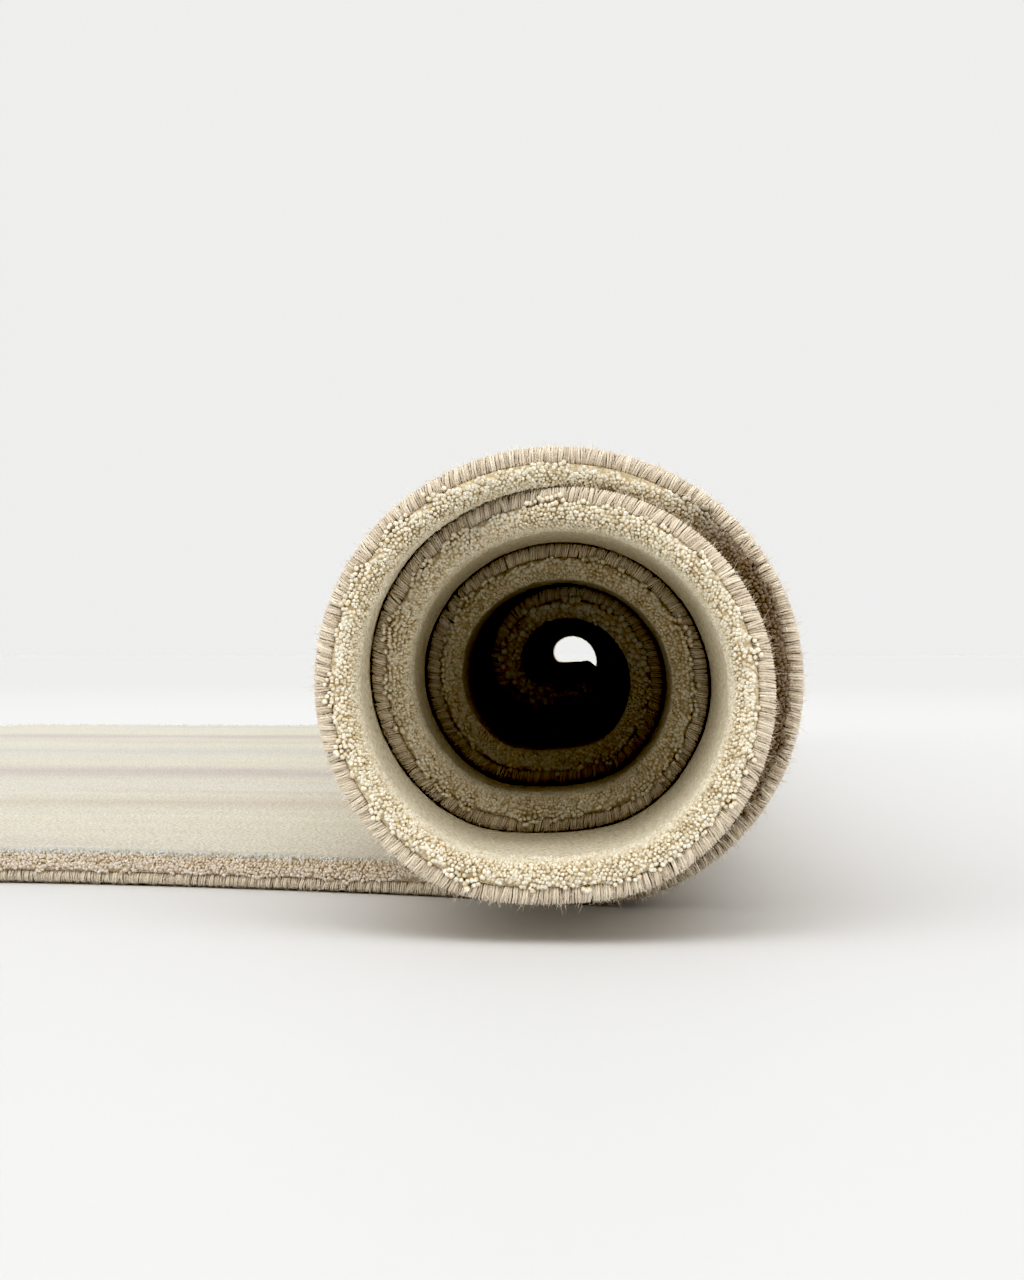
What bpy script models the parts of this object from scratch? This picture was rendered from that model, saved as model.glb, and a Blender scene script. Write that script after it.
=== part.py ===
"""A rolled up carpet: a tufted rug with a serged edge, wound pile side in, with a loose end left lying flat.

Metres, +Z up, +Y along the roll's axis, from the end where the wraps make a funnel to the end where the
core stands out. The origin is at the middle of the bottom of the whole object's box. The rug is drawn flat
first, as it was cut: `along` runs from the loose end to the end in the core, `across` from the near edge to
the far edge, and `up` from the back to the pile. `wound` then carries each point onto the path that the rug
follows: flat, then a spiral.
"""

from math import cos, pi, sin

import bmesh
import bpy
import numpy as np

LENGTH = 2.44
WIDTH = 1.52
THICKNESS = 0.015
CORNER_RADIUS = 0.014

# The roll: the rug's back is on a spiral, counted in turns from where it leaves the floor.
TURNS = 4.16
OUTER_RADIUS = 0.1010
PITCH = 0.0160
WIDER = 1.022
LOWER = 0.985
LIFT_OFF_TURNS = 0.06

# Each wrap's bottom is pressed flat: the outer one by the floor, and those inside it less.
SAG = 0.0030
SAG_INSIDE = 0.0014
SAG_CORNER = 0.0020
SAG_CORNER_INSIDE = 0.0040

# The stiff end in the core stands off the wrap outside it, and its last stretch lies straight across.
CORE_END_STAND_OFF = 0.0175
CORE_END_FROM_TURN = 3.42
CORE_END_TO_TURN = 4.02
CORE_END_BELOW_CENTRE = 0.018
CORE_END_CORNER = 0.0015
STEPS_PER_TURN = 24
FLAT_STEP = 0.06

# How far the near edge lies behind its foremost point, as the wraps wander along the roll's axis.
EDGE_SETBACK = (
    {"turn": -2.00, "setback": 0.206},
    {"turn": -0.75, "setback": 0.200},
    {"turn": -0.28, "setback": 0.176},
    {"turn": -0.07, "setback": 0.138},
    {"turn": 0.05, "setback": 0.106},
    {"turn": 0.25, "setback": 0.058},
    {"turn": 0.50, "setback": 0.032},
    {"turn": 0.75, "setback": 0.022},
    {"turn": 0.95, "setback": 0.000},
    {"turn": 1.25, "setback": 0.006},
    {"turn": 1.50, "setback": 0.032},
    {"turn": 1.75, "setback": 0.080},
    {"turn": 2.00, "setback": 0.120},
    {"turn": 2.50, "setback": 0.148},
    {"turn": 3.00, "setback": 0.190},
    {"turn": 3.50, "setback": 0.238},
    {"turn": 4.10, "setback": 0.292},
)

# Edge profiles, as inset from the cut edge and height above the back.
GAP = 0.0003
BINDING_WIDTH = 0.005
BINDING_HEIGHT = 0.007
PILE_EDGE = (
    {"inset": BINDING_WIDTH + GAP, "up": 0.0},
    {"inset": BINDING_WIDTH + GAP, "up": BINDING_HEIGHT + GAP},
    {"inset": 0.0009, "up": BINDING_HEIGHT + GAP},
    {"inset": 0.0, "up": 0.0096},
    {"inset": 0.0008, "up": 0.0125},
    {"inset": 0.0040, "up": THICKNESS},
)
BINDING_EDGE = (
    {"inset": BINDING_WIDTH, "up": 0.0},
    {"inset": 0.0026, "up": 0.0},
    {"inset": 0.0014, "up": 0.0014},
    {"inset": 0.0010, "up": 0.0035},
    {"inset": 0.0014, "up": 0.0056},
    {"inset": 0.0026, "up": BINDING_HEIGHT},
    {"inset": BINDING_WIDTH, "up": BINDING_HEIGHT},
)
CORNER_STEPS = 4
PATH_SAMPLES = 4001


def columns(table, *names):
    return [np.array([row[name] for row in table]) for name in names]


def eased(x):
    """From 0 to 1 with no kink at either end."""
    x = np.clip(x, 0.0, 1.0)
    return x * x * (3.0 - 2.0 * x)


def turns_in(turn):
    """Turns of winding that draw the spiral in, which start gently as the rug leaves the floor."""
    start = np.minimum(turn, LIFT_OFF_TURNS) ** 2 / (2.0 * LIFT_OFF_TURNS)
    return start + np.maximum(turn - LIFT_OFF_TURNS, 0.0)


def corner_cut(difference, softness):
    """How far a soft corner keeps from the meeting of two curves that are that far apart."""
    return softness * np.log1p(np.exp(-np.abs(difference) / softness))


def back_path(turn):
    """(x, z) of the rug's back on the spiral, from the roll's centre line and from the floor."""
    angle = 2.0 * pi * turn
    inside = eased(turn)
    at_core_end = eased((turn - CORE_END_FROM_TURN) / (CORE_END_TO_TURN - CORE_END_FROM_TURN))
    round_radius = OUTER_RADIUS - PITCH * turns_in(turn) - CORE_END_STAND_OFF * at_core_end
    sag = (SAG + (SAG_INSIDE - SAG) * inside) * (1.0 - at_core_end)
    softness = SAG_CORNER + (SAG_CORNER_INSIDE - SAG_CORNER) * inside
    flat_radius = (round_radius - sag) / np.maximum(np.cos(angle), 0.1)
    radius = np.minimum(round_radius, flat_radius) - corner_cut(round_radius - flat_radius, softness)
    straight_radius = CORE_END_BELOW_CENTRE / np.cos(2.0 * pi * np.maximum(turn - int(TURNS), 0.0))
    radius = np.maximum(radius, straight_radius) + corner_cut(radius - straight_radius, CORE_END_CORNER)
    centre_height = (OUTER_RADIUS - SAG - corner_cut(SAG, SAG_CORNER)) * LOWER
    return radius * WIDER * np.sin(angle), centre_height - radius * LOWER * np.cos(angle)


def spiral_lengths():
    """Turn counts along the spiral, and the length of rug wound up at each."""
    turns = np.linspace(0.0, TURNS, PATH_SAMPLES)
    x, z = back_path(turns)
    return turns, np.concatenate([[0.0], np.cumsum(np.hypot(np.diff(x), np.diff(z)))])


TURN_AT, LENGTH_AT = spiral_lengths()
FLAT_LENGTH = LENGTH - LENGTH_AT[-1]
FIRST_TURN_LENGTH = 2.0 * pi * OUTER_RADIUS


def turn_at(along):
    """Turns wound up at a place along the rug, and below zero on the flat part."""
    past = along - FLAT_LENGTH
    return np.where(past > 0.0, np.interp(past, LENGTH_AT, TURN_AT), past / FIRST_TURN_LENGTH)


def setback(turn):
    """The near edge's place along the roll, on a smooth curve through the table."""
    at, back = columns(EDGE_SETBACK, "turn", "setback")
    slope = np.gradient(back, at)
    i = np.clip(np.searchsorted(at, turn) - 1, 0, len(at) - 2)
    width = at[i + 1] - at[i]
    t = (turn - at[i]) / width
    rise = back[i] + (back[i + 1] - back[i]) * t * t * (3.0 - 2.0 * t)
    return rise + width * t * (1.0 - t) * (slope[i] * (1.0 - t) - slope[i + 1] * t)


def back_point(along):
    turn = turn_at(along)
    x, z = back_path(np.maximum(turn, 0.0))
    flat = turn < 0.0
    return np.where(flat, along - FLAT_LENGTH, x), np.where(flat, 0.0, z)


def wound(along, across, up):
    """Where a point of the flat rug comes to lie."""
    step = 0.0008
    ahead_x, ahead_z = back_point(along + step)
    behind_x, behind_z = back_point(along - step)
    length = np.hypot(ahead_x - behind_x, ahead_z - behind_z)
    x, z = back_point(along)
    return (
        x - up * (ahead_z - behind_z) / length,
        setback(turn_at(along)) + across,
        z + up * (ahead_x - behind_x) / length,
    )


def stations():
    """(along, corner angle) from end to end: the corners' arcs, the flat part's steps and the spiral's."""
    corner = [pi / 2.0 * k / CORNER_STEPS for k in range(CORNER_STEPS + 1)]
    flat = np.linspace(CORNER_RADIUS, FLAT_LENGTH, round(FLAT_LENGTH / FLAT_STEP) + 1)
    last_turn = np.interp(LENGTH_AT[-1] - CORNER_RADIUS, LENGTH_AT, TURN_AT)
    steps = np.arange(1, int(last_turn * STEPS_PER_TURN) + 1) / STEPS_PER_TURN
    round_part = FLAT_LENGTH + np.interp(steps, TURN_AT, LENGTH_AT)
    start = [(CORNER_RADIUS, angle) for angle in corner]
    middle = [(along, pi / 2.0) for along in (*flat[1:], *round_part)]
    end = [(LENGTH - CORNER_RADIUS, pi - angle) for angle in reversed(corner)]
    return start + middle + end


def edge_loop(inset, up):
    """The rug's outline at one inset and height: the near edge one way, then the far edge back."""
    arc = CORNER_RADIUS - inset
    near = [(along - arc * cos(angle), CORNER_RADIUS - arc * sin(angle)) for along, angle in stations()]
    far = [(along, WIDTH - across) for along, across in reversed(near)]
    return [wound(along, across, up) for along, across in near + far]


def lofted(name, profile, closed_profile):
    """A solid from one outline loop a profile row, capped on top and below unless the profile closes."""
    shape = bmesh.new()
    loops = [[shape.verts.new(point) for point in edge_loop(row["inset"], row["up"])] for row in profile]
    size = len(loops[0])
    pairs = list(zip(loops, loops[1:], strict=False))
    if closed_profile:
        pairs.append((loops[-1], loops[0]))
    for lower, upper in pairs:
        for i in range(size):
            j = (i + 1) % size
            shape.faces.new((lower[i], lower[j], upper[j], upper[i]))
    if not closed_profile:
        for loop in (loops[0], loops[-1]):
            for i in range(size // 2 - 1):
                shape.faces.new((loop[i], loop[i + 1], loop[size - 2 - i], loop[size - 1 - i]))
    bmesh.ops.triangulate(shape, faces=shape.faces[:])
    bmesh.ops.recalc_face_normals(shape, faces=shape.faces[:])
    mesh = bpy.data.meshes.new(name)
    shape.to_mesh(mesh)
    shape.free()
    mesh.shade_smooth()
    mesh.set_sharp_from_angle(angle=pi / 5.0)
    return bpy.data.objects.new(name, mesh)


def material(name, colour, roughness):
    made = bpy.data.materials.new(name)
    made.use_nodes = True
    shader = made.node_tree.nodes["Principled BSDF"]
    shader.inputs["Base Color"].default_value = (*colour, 1.0)
    shader.inputs["Roughness"].default_value = roughness
    shader.inputs["Metallic"].default_value = 0.0
    return made


def carpet():
    piece = lofted("carpet", PILE_EDGE, closed_profile=False)
    piece.data.materials.append(material("wool_pile", (0.72, 0.66, 0.53), 0.95))
    return piece


def binding():
    piece = lofted("binding", BINDING_EDGE, closed_profile=True)
    piece.data.materials.append(material("serging_yarn", (0.60, 0.49, 0.38), 0.9))
    return piece


def centred(pieces):
    """Moves the meshes so that the middle of the bottom of the whole box is the origin."""
    points = np.array([vertex.co for piece in pieces for vertex in piece.data.vertices])
    low, high = points.min(axis=0), points.max(axis=0)
    middle = ((low + high) / 2.0)[:2]
    for piece in pieces:
        for vertex in piece.data.vertices:
            vertex.co.x -= middle[0]
            vertex.co.y -= middle[1]
            vertex.co.z -= low[2]


def main():
    for old in list(bpy.data.objects):
        bpy.data.objects.remove(old, do_unlink=True)
    collection = bpy.data.collections.new("rolled_carpet")
    bpy.context.scene.collection.children.link(collection)
    pieces = [carpet(), binding()]
    centred(pieces)
    for piece in pieces:
        collection.objects.link(piece)


main()
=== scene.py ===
"""The looks of the rolled up carpet: tufted pile, whipped edge, canvas back, floor, light and camera.

Metres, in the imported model's frame. The rug is laid out flat first: `along` runs from the loose end to
the end in the core, `across` from the near edge to the far edge, and `up` from the back to the pile. `wound`
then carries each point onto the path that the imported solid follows.
"""

from math import pi, radians

import bpy
import numpy as np
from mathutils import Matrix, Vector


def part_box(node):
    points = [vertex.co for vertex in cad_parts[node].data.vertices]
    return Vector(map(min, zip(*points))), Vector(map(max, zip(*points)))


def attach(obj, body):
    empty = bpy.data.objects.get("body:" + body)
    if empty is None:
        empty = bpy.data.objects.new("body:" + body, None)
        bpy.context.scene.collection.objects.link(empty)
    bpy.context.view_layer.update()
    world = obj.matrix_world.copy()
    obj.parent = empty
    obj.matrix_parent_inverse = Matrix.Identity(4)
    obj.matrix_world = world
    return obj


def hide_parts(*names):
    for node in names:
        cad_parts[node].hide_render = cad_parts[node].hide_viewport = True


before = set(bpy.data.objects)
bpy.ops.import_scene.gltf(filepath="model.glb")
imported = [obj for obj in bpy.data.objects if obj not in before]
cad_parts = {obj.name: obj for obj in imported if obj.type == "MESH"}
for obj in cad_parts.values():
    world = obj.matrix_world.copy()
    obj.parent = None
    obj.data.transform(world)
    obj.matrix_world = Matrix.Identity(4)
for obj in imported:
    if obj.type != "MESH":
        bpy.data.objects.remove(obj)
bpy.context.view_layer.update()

# ---------------------------------------------------------------- the rug's own sizes, as the part has them
LENGTH = 2.44
WIDTH = 1.52
THICKNESS = 0.015
CORNER_RADIUS = 0.014
TURNS = 4.16
OUTER_RADIUS = 0.1010
PITCH = 0.0160
WIDER = 1.022
LOWER = 0.985
LIFT_OFF_TURNS = 0.06
SAG = 0.0030
SAG_INSIDE = 0.0014
SAG_CORNER = 0.0020
SAG_CORNER_INSIDE = 0.0040
CORE_END_STAND_OFF = 0.0175
CORE_END_FROM_TURN = 3.42
CORE_END_TO_TURN = 4.02
CORE_END_BELOW_CENTRE = 0.018
CORE_END_CORNER = 0.0015
EDGE_SETBACK = (
    {"turn": -2.00, "setback": 0.206},
    {"turn": -0.75, "setback": 0.200},
    {"turn": -0.28, "setback": 0.176},
    {"turn": -0.07, "setback": 0.138},
    {"turn": 0.05, "setback": 0.106},
    {"turn": 0.25, "setback": 0.058},
    {"turn": 0.50, "setback": 0.032},
    {"turn": 0.75, "setback": 0.022},
    {"turn": 0.95, "setback": 0.000},
    {"turn": 1.25, "setback": 0.006},
    {"turn": 1.50, "setback": 0.032},
    {"turn": 1.75, "setback": 0.080},
    {"turn": 2.00, "setback": 0.120},
    {"turn": 2.50, "setback": 0.148},
    {"turn": 3.00, "setback": 0.190},
    {"turn": 3.50, "setback": 0.238},
    {"turn": 4.10, "setback": 0.292},
)
PATH_SAMPLES = 4001
TANGENT_STEP = 0.0008

RNG = np.random.default_rng(7)


# ---------------------------------------------------------------- the path that the rug follows
def eased(x):
    """From 0 to 1 with no kink at either end."""
    x = np.clip(x, 0.0, 1.0)
    return x * x * (3.0 - 2.0 * x)


def turns_in(turn):
    """Turns of winding that draw the spiral in, which start gently as the rug leaves the floor."""
    start = np.minimum(turn, LIFT_OFF_TURNS) ** 2 / (2.0 * LIFT_OFF_TURNS)
    return start + np.maximum(turn - LIFT_OFF_TURNS, 0.0)


def corner_cut(difference, softness):
    """How far a soft corner keeps from the meeting of two curves that are that far apart."""
    return softness * np.log1p(np.exp(-np.abs(difference) / softness))


def back_path(turn):
    """(x, z) of the rug's back on the spiral, from the roll's centre line and from the floor."""
    angle = 2.0 * pi * turn
    inside = eased(turn)
    at_core_end = eased((turn - CORE_END_FROM_TURN) / (CORE_END_TO_TURN - CORE_END_FROM_TURN))
    round_radius = OUTER_RADIUS - PITCH * turns_in(turn) - CORE_END_STAND_OFF * at_core_end
    sag = (SAG + (SAG_INSIDE - SAG) * inside) * (1.0 - at_core_end)
    softness = SAG_CORNER + (SAG_CORNER_INSIDE - SAG_CORNER) * inside
    flat_radius = (round_radius - sag) / np.maximum(np.cos(angle), 0.1)
    radius = np.minimum(round_radius, flat_radius) - corner_cut(round_radius - flat_radius, softness)
    straight_radius = CORE_END_BELOW_CENTRE / np.cos(2.0 * pi * np.maximum(turn - int(TURNS), 0.0))
    radius = np.maximum(radius, straight_radius) + corner_cut(radius - straight_radius, CORE_END_CORNER)
    centre_height = (OUTER_RADIUS - SAG - corner_cut(SAG, SAG_CORNER)) * LOWER
    return radius * WIDER * np.sin(angle), centre_height - radius * LOWER * np.cos(angle)


def spiral_lengths():
    """Turn counts along the spiral, and the length of rug wound up at each."""
    turns = np.linspace(0.0, TURNS, PATH_SAMPLES)
    x, z = back_path(turns)
    return turns, np.concatenate([[0.0], np.cumsum(np.hypot(np.diff(x), np.diff(z)))])


TURN_AT, LENGTH_AT = spiral_lengths()
FLAT_LENGTH = LENGTH - LENGTH_AT[-1]
FIRST_TURN_LENGTH = 2.0 * pi * OUTER_RADIUS


def turn_at(along):
    """Turns wound up at a place along the rug, and below zero on the flat part."""
    past = along - FLAT_LENGTH
    return np.where(past > 0.0, np.interp(past, LENGTH_AT, TURN_AT), past / FIRST_TURN_LENGTH)


def along_at(turn):
    """The place along the rug where that many turns are wound up."""
    return FLAT_LENGTH + np.interp(turn, TURN_AT, LENGTH_AT)


def setback(turn):
    """The near edge's place along the roll, on a smooth curve through the table."""
    at = np.array([row["turn"] for row in EDGE_SETBACK])
    back = np.array([row["setback"] for row in EDGE_SETBACK])
    slope = np.gradient(back, at)
    i = np.clip(np.searchsorted(at, turn) - 1, 0, len(at) - 2)
    width = at[i + 1] - at[i]
    t = (turn - at[i]) / width
    rise = back[i] + (back[i + 1] - back[i]) * t * t * (3.0 - 2.0 * t)
    return rise + width * t * (1.0 - t) * (slope[i] * (1.0 - t) - slope[i + 1] * t)


def back_point(along):
    """(x, z) of the rug's back at a place along it, where the roll's centre line has x = 0."""
    turn = turn_at(along)
    x, z = back_path(np.maximum(turn, 0.0))
    flat = turn < 0.0
    return np.where(flat, along - FLAT_LENGTH, x), np.where(flat, 0.0, z)


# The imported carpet's box says where the path lies in the frame.
LOW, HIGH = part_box("carpet")
ALL_ALONG = np.linspace(0.0, LENGTH, PATH_SAMPLES)
PATH_X, _ = back_point(ALL_ALONG)
ROLL_X = (LOW.x + HIGH.x) / 2.0 - (PATH_X.min() + PATH_X.max()) / 2.0
SHIFT_Y = LOW.y - setback(turn_at(ALL_ALONG)).min()


def wound(along, across, up):
    """Where points of the flat rug come to lie, as an array of (x, y, z)."""
    along, across, up = np.broadcast_arrays(along, across, up)
    ahead_x, ahead_z = back_point(along + TANGENT_STEP)
    behind_x, behind_z = back_point(along - TANGENT_STEP)
    length = np.hypot(ahead_x - behind_x, ahead_z - behind_z)
    x, z = back_point(along)
    y = setback(turn_at(along)) + across + SHIFT_Y
    x = x - up * (ahead_z - behind_z) / length + ROLL_X
    z = z + up * (ahead_x - behind_x) / length
    return np.stack([x, y, z], axis=-1)


# ---------------------------------------------------------------- smooth noise, the same each run
HASH_I = 374761393
HASH_J = 668265263
HASH_SEED = 974634777
HASH_MIX = 1274126177
HASH_BITS = 0xFFFFFFFF


def lattice(i, j, seed):
    """A number from -1 to 1 for each lattice point."""
    bits = (i.astype(np.int64) * HASH_I + j.astype(np.int64) * HASH_J + seed * HASH_SEED) & HASH_BITS
    bits = ((bits ^ (bits >> 13)) * HASH_MIX) & HASH_BITS
    return (bits ^ (bits >> 16)) / float(HASH_BITS // 2) - 1.0


def noise(x, y, seed):
    """Smooth noise from -1 to 1, with features one unit wide."""
    i, j = np.floor(x), np.floor(y)
    u, v = x - i, y - j
    u, v = u * u * (3.0 - 2.0 * u), v * v * (3.0 - 2.0 * v)
    low = lattice(i, j, seed) * (1.0 - u) + lattice(i + 1, j, seed) * u
    high = lattice(i, j + 1, seed) * (1.0 - u) + lattice(i + 1, j + 1, seed) * u
    return low * (1.0 - v) + high * v


def rough_noise(x, y, seed, octaves=3):
    """Noise with finer noise on it, each octave half as wide and half as strong."""
    total = sum(noise(x * 2**k, y * 2**k, seed + k) / 2**k for k in range(octaves))
    return total / (2.0 - 2.0 ** (1 - octaves))


# ---------------------------------------------------------------- the rim: a place round the rug's edge
LONG_STRAIGHT = LENGTH - 2.0 * CORNER_RADIUS
SHORT_STRAIGHT = WIDTH - 2.0 * CORNER_RADIUS
CORNER_ARC = CORNER_RADIUS * pi / 2.0
LONG_SIDE = LONG_STRAIGHT + CORNER_ARC
SHORT_SIDE = SHORT_STRAIGHT + CORNER_ARC
RIM_SIDES = {
    "near": {"length": LONG_STRAIGHT, "from": (0.0, 0.0), "heading": 0.0},
    "core": {"length": SHORT_STRAIGHT, "from": (LENGTH, 0.0), "heading": pi / 2.0},
    "far": {"length": LONG_STRAIGHT, "from": (LENGTH, WIDTH), "heading": pi},
    "loose": {"length": SHORT_STRAIGHT, "from": (0.0, WIDTH), "heading": 1.5 * pi},
}
RIM_PROBE = 0.0005
OUTWARD_PROBE = 0.001


def rim(side, place, inset):
    """(along, across) of a place on one side, measured from the side's first corner, at an inset from the
    cut edge. Past the side's end the place runs on round the corner's arc."""
    row = RIM_SIDES[side]
    heading = row["heading"]
    forward = np.array([np.cos(heading), np.sin(heading)])
    inward = np.array([-np.sin(heading), np.cos(heading)])
    straight = np.clip(place, 0.0, row["length"])
    turned = np.clip((place - row["length"]) / CORNER_RADIUS, 0.0, pi / 2.0)
    arc = np.maximum(CORNER_RADIUS - inset, 0.0)
    forth = CORNER_RADIUS + straight + arc * np.sin(turned)
    in_by = np.where(turned > 0.0, CORNER_RADIUS - arc * np.cos(turned), inset)
    corner = row["from"]
    along = corner[0] + forward[0] * forth + inward[0] * in_by
    across = corner[1] + forward[1] * forth + inward[1] * in_by
    return along, across


def rim_wound(side, place, inset, up):
    """Where points of the rim come to lie."""
    along, across = rim(side, place, inset)
    return wound(along, across, up)


def rim_direction(side, place, inset, up):
    """Which way the rim runs at points of it, at no set length."""
    ahead = rim_wound(side, place + RIM_PROBE, inset, up)
    return ahead - rim_wound(side, place - RIM_PROBE, inset, up)


def unit(vectors):
    return vectors / np.linalg.norm(vectors, axis=-1)[..., None]


def square_to(vectors, ahead):
    """Unit vectors square to `ahead`, which lean as far the given way as they can."""
    return unit(vectors - ahead * np.sum(vectors * ahead, axis=-1)[..., None])


def outward_from(base, side, place, inset, up, out_inset, out_up):
    """Unit vectors from base points to points just outside the edge's surface."""
    outside = rim_wound(side, place, inset - OUTWARD_PROBE * out_inset, up + OUTWARD_PROBE * out_up)
    return unit(outside - base)


def rim_distance(along, across):
    """Distance to the nearest edge of the flat rug."""
    return np.minimum(np.minimum(across, WIDTH - across), np.minimum(along, LENGTH - along))


# ---------------------------------------------------------------- colours, by place on the rug
CREAM = (0.875, 0.835, 0.730)
IVORY = (0.740, 0.738, 0.745)
TAUPE = (0.820, 0.755, 0.680)
# The taupe border where it lies on the roll: its own taupe under painted shade.
TAUPE_IN_PAINTED_SHADE = (0.330, 0.265, 0.200)
LILAC = (0.595, 0.545, 0.565)
STRAW = (0.800, 0.795, 0.725)
MIST = (0.670, 0.690, 0.705)
SAND = (0.700, 0.645, 0.580)

# The brushed bands of the field, as distance from the near edge.
BANDS = (
    {"across": 0.014, "width": 0.012, "colour": MIST, "share": 0.80},
    {"across": 0.062, "width": 0.020, "colour": LILAC, "share": 0.75},
    {"across": 0.180, "width": 0.090, "colour": STRAW, "share": 0.80},
    {"across": 0.300, "width": 0.040, "colour": SAND, "share": 0.70},
    {"across": 0.400, "width": 0.050, "colour": LILAC, "share": 0.75},
    {"across": 0.600, "width": 0.070, "colour": LILAC, "share": 0.70},
    {"across": 0.740, "width": 0.060, "colour": STRAW, "share": 0.60},
    {"across": 0.900, "width": 0.050, "colour": MIST, "share": 0.60},
    {"across": 1.060, "width": 0.070, "colour": SAND, "share": 0.45},
    {"across": 1.210, "width": 0.050, "colour": LILAC, "share": 0.60},
    {"across": 1.360, "width": 0.060, "colour": STRAW, "share": 0.70},
    {"across": 1.470, "width": 0.030, "colour": MIST, "share": 0.60},
)
BAND_DRIFT = 0.034
STREAK = 0.05
TAUPE_UNTIL_TURN = 0.34
TAUPE_FADE = 0.06
TAUPE_RAGGED = 0.02
BORDER_FROM = 0.0008
BORDER_FADE = 0.0045
BORDER_RAGGED = 0.0015
# Where the painted shade on the taupe border comes in, over the first turn of the roll.
PAINTED_SHADE_FROM_TURN = -0.15
PAINTED_SHADE_OVER_TURNS = 0.20
PLAIN_RIM = 0.10
PLAIN_FADE = 0.12
UNDERSIDE_GREY = 0.6


def mixed(a, b, share):
    share = np.asarray(share)[..., None]
    return np.asarray(a) * (1.0 - share) + np.asarray(b) * share


def field_colour(along, across):
    """The brushed bands, which drift across the rug and come and go along it."""
    band_at = across + BAND_DRIFT * rough_noise(along * 3.2, across * 3.0, 11)
    colour = mixed(IVORY, STRAW, 0.5 + 0.5 * rough_noise(along * 1.5, band_at * 16.0, 21))
    for number, band in enumerate(BANDS):
        near = np.exp(-((band_at - band["across"]) / band["width"]) ** 2)
        patchy = eased(0.70 + 1.3 * rough_noise(along * 3.6, across * 9.0, 100 + number))
        colour = mixed(colour, band["colour"], band["share"] * near * patchy)
    streak = rough_noise(along * 4.0, band_at * 90.0, 31)
    return colour * (1.0 + STREAK * streak[..., None])


def pile_colour(along, across):
    """The field with what lies round it: a narrow ragged border in taupe on the loose end and the first part
    of the roll, where painted shade dims it, and from there to the core a broad plain rim in cream."""
    from_rim = rim_distance(along, across)
    ragged_end = TAUPE_RAGGED * rough_noise(along * 9.0, across * 90.0, 41)
    taupe = 1.0 - eased((along - along_at(TAUPE_UNTIL_TURN) - ragged_end) / TAUPE_FADE)
    plain = (1.0 - eased((from_rim - PLAIN_RIM) / PLAIN_FADE)) * (1.0 - taupe)
    colour = mixed(field_colour(along, across), CREAM, plain)
    ragged = from_rim + BORDER_RAGGED * rough_noise(along * 45.0, across * 45.0, 71)
    border = (1.0 - eased((ragged - BORDER_FROM) / BORDER_FADE)) * taupe
    # Over the first turn of the roll the border takes on painted shade.
    wound_painted_shade = eased((turn_at(along) - PAINTED_SHADE_FROM_TURN) / PAINTED_SHADE_OVER_TURNS)
    return mixed(colour, mixed(TAUPE, TAUPE_IN_PAINTED_SHADE, wound_painted_shade), border)


def ground_colour(along, across):
    """One even grey, because the canvas material has its own colours."""
    return np.full((len(along), 3), UNDERSIDE_GREY)


# ---------------------------------------------------------------- meshes from arrays
def add_attribute(mesh, key, values):
    """One value a vertex: a colour from each row of three, or else a number."""
    if values.ndim == 2:
        rgba = np.concatenate([values, np.ones((len(values), 1))], axis=1)
        colours = mesh.attributes.new(key, "FLOAT_COLOR", "POINT")
        colours.data.foreach_set("color", rgba.astype(np.float32).reshape(-1))
    else:
        numbers = mesh.attributes.new(key, "FLOAT", "POINT")
        numbers.data.foreach_set("value", values.astype(np.float32))


def mesh_piece(name, points, face_groups, material, attributes):
    """A piece from arrays. Each face group is an array with one face a row, as vertex numbers."""
    mesh = bpy.data.meshes.new(name)
    corners = np.concatenate([group.reshape(-1) for group in face_groups]).astype(np.int32)
    counts = np.concatenate([np.full(len(group), group.shape[1]) for group in face_groups])
    starts = np.concatenate([[0], np.cumsum(counts)[:-1]])
    mesh.vertices.add(len(points))
    mesh.vertices.foreach_set("co", np.asarray(points, np.float32).reshape(-1))
    mesh.loops.add(len(corners))
    mesh.loops.foreach_set("vertex_index", corners)
    mesh.polygons.add(len(counts))
    mesh.polygons.foreach_set("loop_start", starts.astype(np.int32))
    for key, values in attributes.items():
        add_attribute(mesh, key, values)
    mesh.update(calc_edges=True)
    mesh.validate()
    mesh.shade_smooth()
    mesh.materials.append(material)
    piece = bpy.data.objects.new(name, mesh)
    bpy.context.scene.collection.objects.link(piece)
    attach(piece, "root")
    return piece


def grid_faces(rows, columns):
    """Quads of a grid of vertices, row by row, whose last column meets the first."""
    i, j = np.meshgrid(np.arange(rows - 1), np.arange(columns), indexing="ij")
    i, j = i.reshape(-1), j.reshape(-1)
    k = (j + 1) % columns
    row, next_row = i * columns, (i + 1) * columns
    return np.stack([row + j, row + k, next_row + k, next_row + j], axis=1)


def repeated(faces, count, per):
    """The same faces again on each of `count` bodies of `per` vertices."""
    start = (np.arange(count) * per)[:, None, None]
    return (start + faces[None]).reshape(-1, faces.shape[1])


# ---------------------------------------------------------------- materials
WHITE = (1.0, 1.0, 1.0)
TUFT_ROOT_SHADE = (0.84, 0.66, 0.40)
TUFT_MIDDLE_SHADE = (0.96, 0.91, 0.80)
# Ends of the ramp for each tuft's random lightness; the light end also carries the painted highlight at the
# lip.
TUFT_DARK = (0.78, 0.72, 0.60)
TUFT_LIGHT = (1.10, 1.13, 1.20)
CANVAS_DARK = (0.56, 0.47, 0.35)
CANVAS_LIGHT = (0.70, 0.62, 0.49)


def new_material(name):
    made = bpy.data.materials.new(name)
    made.use_nodes = True
    nodes = made.node_tree.nodes
    return made, nodes, made.node_tree.links, nodes["Principled BSDF"]


def node(nodes, kind, **settings):
    """A new node, with values for its sockets, or for its own settings where it has no such socket."""
    made = nodes.new(kind)
    for key, value in settings.items():
        if key in made.inputs:
            made.inputs[key].default_value = value
        else:
            setattr(made, key, value)
    return made


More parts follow.
